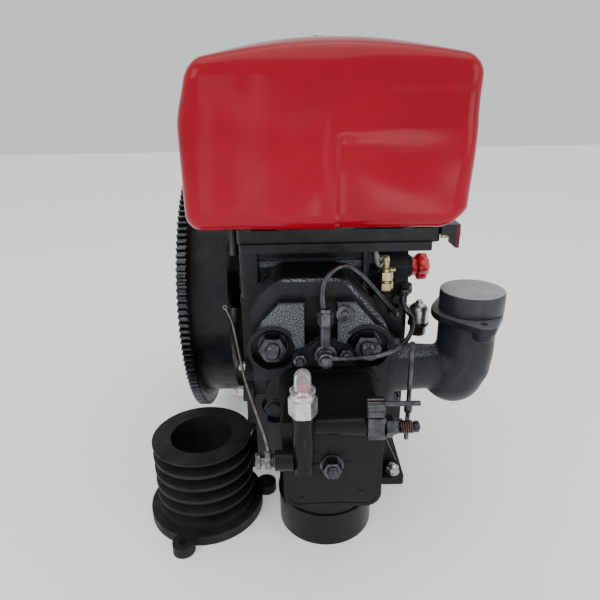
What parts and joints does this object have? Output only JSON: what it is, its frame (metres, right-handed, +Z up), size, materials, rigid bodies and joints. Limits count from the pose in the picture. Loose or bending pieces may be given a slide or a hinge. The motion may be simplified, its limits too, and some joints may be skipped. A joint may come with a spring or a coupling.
{
  "type": "horizontal single-cylinder engine",
  "caption": "Horizontal single-cylinder water-cooled engine with hopper cooling, side flywheel, red fuel tank, intake elbow, loose V-belt pulley and air cleaner.",
  "frame": {"origin": "centre of the four holding-down holes, on the underside of the feet", "axes": "+Z up, +X towards the gear case and intake elbow along the crankshaft, -Y towards the cylinder head"},
  "size_m": [0.4479, 0.6607, 0.5895],
  "materials": {
    "cast_black": "gloss black paint over rough casting",
    "cover_black": "glossy black enamel",
    "tank_red": "glossy red enamel",
    "bracket_red": "satin red paint",
    "bright_zinc": "bright zinc plating",
    "yellow_zinc": "yellow zinc plating",
    "dark_steel": "blackened steel",
    "machined_steel": "machined steel",
    "aluminium": "machined aluminium",
    "grey_plastic": "matt dark grey moulding",
    "red_plastic": "glossy red moulding",
    "clear_plastic": "clear moulding",
    "hose_grey": "grey hose",
    "gasket": "gasket sheet",
    "copper_spring": "coppery spring wire",
    "raw_casting": "matt raw casting",
    "drum_black": "brown-black enamel",
    "bowl_dark": "dark bowl",
    "elbow_black": "satin black paint over rough casting",
    "grey_steel": "dull grey steel",
    "pale_zinc": "pale granular casting",
    "dull_zinc": "dull zinc plating"
  },
  "bodies": {
    "root": {"crankcase": "cast_black", "cylinder_liner": "machined_steel", "bearing_cover": "cast_black", "gear_case_cover": "cast_black", "case_bolts": "dark_steel", "mounting_feet": "cast_black", "foot_bolts": "bright_zinc", "cylinder_head": "cast_black", "head_gasket": "gasket", "head_studs": "dark_steel", "injector": "machined_steel", "injector_clamp": "cast_black", "clamp_nuts": "grey_steel", "pressure_pipe": "dark_steel", "return_pipe": "dark_steel", "rocker_cover": "cover_black", "cover_nut": "dark_steel", "rocker_shaft": "machined_steel", "fuel_tank": "tank_red", "tank_seat": "cast_black", "tank_bracket": "bracket_red", "tank_bolts": "yellow_zinc", "injection_pump": "cast_black", "pump_fittings": "yellow_zinc", "fuel_hoses": "hose_grey", "filter_head": "aluminium", "filter_bowl": "bowl_dark", "intake_elbow": "elbow_black", "elbow_bolts": "dark_steel", "exhaust_flange": "cast_black", "port_nuts": "bright_zinc", "indicator_tube": "cover_black", "indicator_body": "pale_zinc", "indicator_dome": "clear_plastic", "relief_housing": "cover_black", "relief_spring": "bright_zinc", "lever_bracket": "grey_steel", "lever_spring": "copper_spring"},
    "crank": {"crankshaft": "machined_steel", "flywheel": "cast_black", "ring_gear": "dark_steel", "flywheel_nut": "dark_steel"},
    "cam": {"camshaft": "machined_steel"},
    "piston_set": {"piston": "aluminium", "piston_pin": "machined_steel", "connecting_rod": "machined_steel"},
    "inlet_arm": {"inlet_rocker": "machined_steel"},
    "exhaust_arm": {"exhaust_rocker": "machined_steel"},
    "inlet_valve": {"inlet_valve": "machined_steel"},
    "exhaust_valve": {"exhaust_valve": "machined_steel"},
    "inlet_rod": {"inlet_pushrod": "machined_steel"},
    "exhaust_rod": {"exhaust_pushrod": "machined_steel"},
    "tank_cap": {"tank_cap": "bright_zinc"},
    "intake_cap": {"intake_cap": "grey_plastic"},
    "oil_knob": {"oil_knob": "red_plastic"},
    "indicator_float": {"indicator_float": "red_plastic"},
    "relief_lever": {"relief_lever": "dull_zinc"},
    "control_rod": {"control_rod": "dark_steel"},
    "belt_pulley": {"belt_pulley": "raw_casting"},
    "air_cleaner": {"air_cleaner": "drum_black"}
  },
  "joints": [
    {"name": "crank_spin", "type": "hinge", "parent": "root", "child": "crank", "pos_m": [0, 0.099, 0.234], "axis": [1, 0, 0], "continuous": true},
    {"name": "cam_spin", "type": "hinge", "parent": "root", "child": "cam", "pos_m": [0, 0.02263, 0.15763], "axis": [1, 0, 0], "continuous": true},
    {"name": "piston_travel", "type": "slide", "parent": "root", "child": "piston_set", "axis": [0, 1, 0], "range_m": [-0.05, 0.05]},
    {"name": "inlet_rock", "type": "hinge", "parent": "root", "child": "inlet_arm", "pos_m": [0.017, -0.292, 0.18582], "axis": [-1, 0, 0], "range_deg": [0, 14.3]},
    {"name": "inlet_lift", "type": "slide", "parent": "root", "child": "inlet_valve", "axis": [0, 1, 0], "range_m": [0, 0.0072]},
    {"name": "inlet_push", "type": "slide", "parent": "root", "child": "inlet_rod", "axis": [0, -1, 0], "range_m": [0, 0.0072]},
    {"name": "exhaust_rock", "type": "hinge", "parent": "root", "child": "exhaust_arm", "pos_m": [-0.027, -0.292, 0.18582], "axis": [-1, 0, 0], "range_deg": [0, 14.3]},
    {"name": "exhaust_lift", "type": "slide", "parent": "root", "child": "exhaust_valve", "axis": [0, 1, 0], "range_m": [0, 0.0072]},
    {"name": "exhaust_push", "type": "slide", "parent": "root", "child": "exhaust_rod", "axis": [0, -1, 0], "range_m": [0, 0.0072]},
    {"name": "tank_cap_lift", "type": "slide", "parent": "root", "child": "tank_cap", "axis": [0, 0, 1], "range_m": [0, 0.06]},
    {"name": "intake_cap_lift", "type": "slide", "parent": "root", "child": "intake_cap", "axis": [0, 0, 1], "range_m": [0, 0.045]},
    {"name": "oil_knob_turn", "type": "hinge", "parent": "root", "child": "oil_knob", "pos_m": [0.13, -0.1, 0.319], "axis": [1, 0, 0], "range_deg": [0, 360]},
    {"name": "indicator_rise", "type": "slide", "parent": "root", "child": "indicator_float", "axis": [0, 0, 1], "range_m": [0, 0.006]},
    {"name": "relief_turn", "type": "hinge", "parent": "root", "child": "relief_lever", "pos_m": [-0.05, -0.34, 0.197], "axis": [1, 0, 0], "range_deg": [0, 55]},
    {"name": "control_slide", "type": "slide", "parent": "root", "child": "control_rod", "axis": [0, 0, 1], "range_m": [-0.012, 0.012]},
    {"name": "pulley_pull", "type": "slide", "parent": "root", "child": "belt_pulley", "axis": [0, -1, 0], "range_m": [0, 0.12]},
    {"name": "cleaner_pull", "type": "slide", "parent": "root", "child": "air_cleaner", "axis": [0, -1, 0], "range_m": [0, 0.15]}
  ],
  "couplings": [
    {"joint": "cam_spin", "follows": "crank_spin", "ratio": -0.5},
    {"joint": "inlet_lift", "follows": "inlet_rock", "m_per_rad": 0.028184},
    {"joint": "inlet_push", "follows": "inlet_rock", "m_per_rad": 0.028184},
    {"joint": "exhaust_lift", "follows": "exhaust_rock", "m_per_rad": 0.028184},
    {"joint": "exhaust_push", "follows": "exhaust_rock", "m_per_rad": 0.028184}
  ]
}
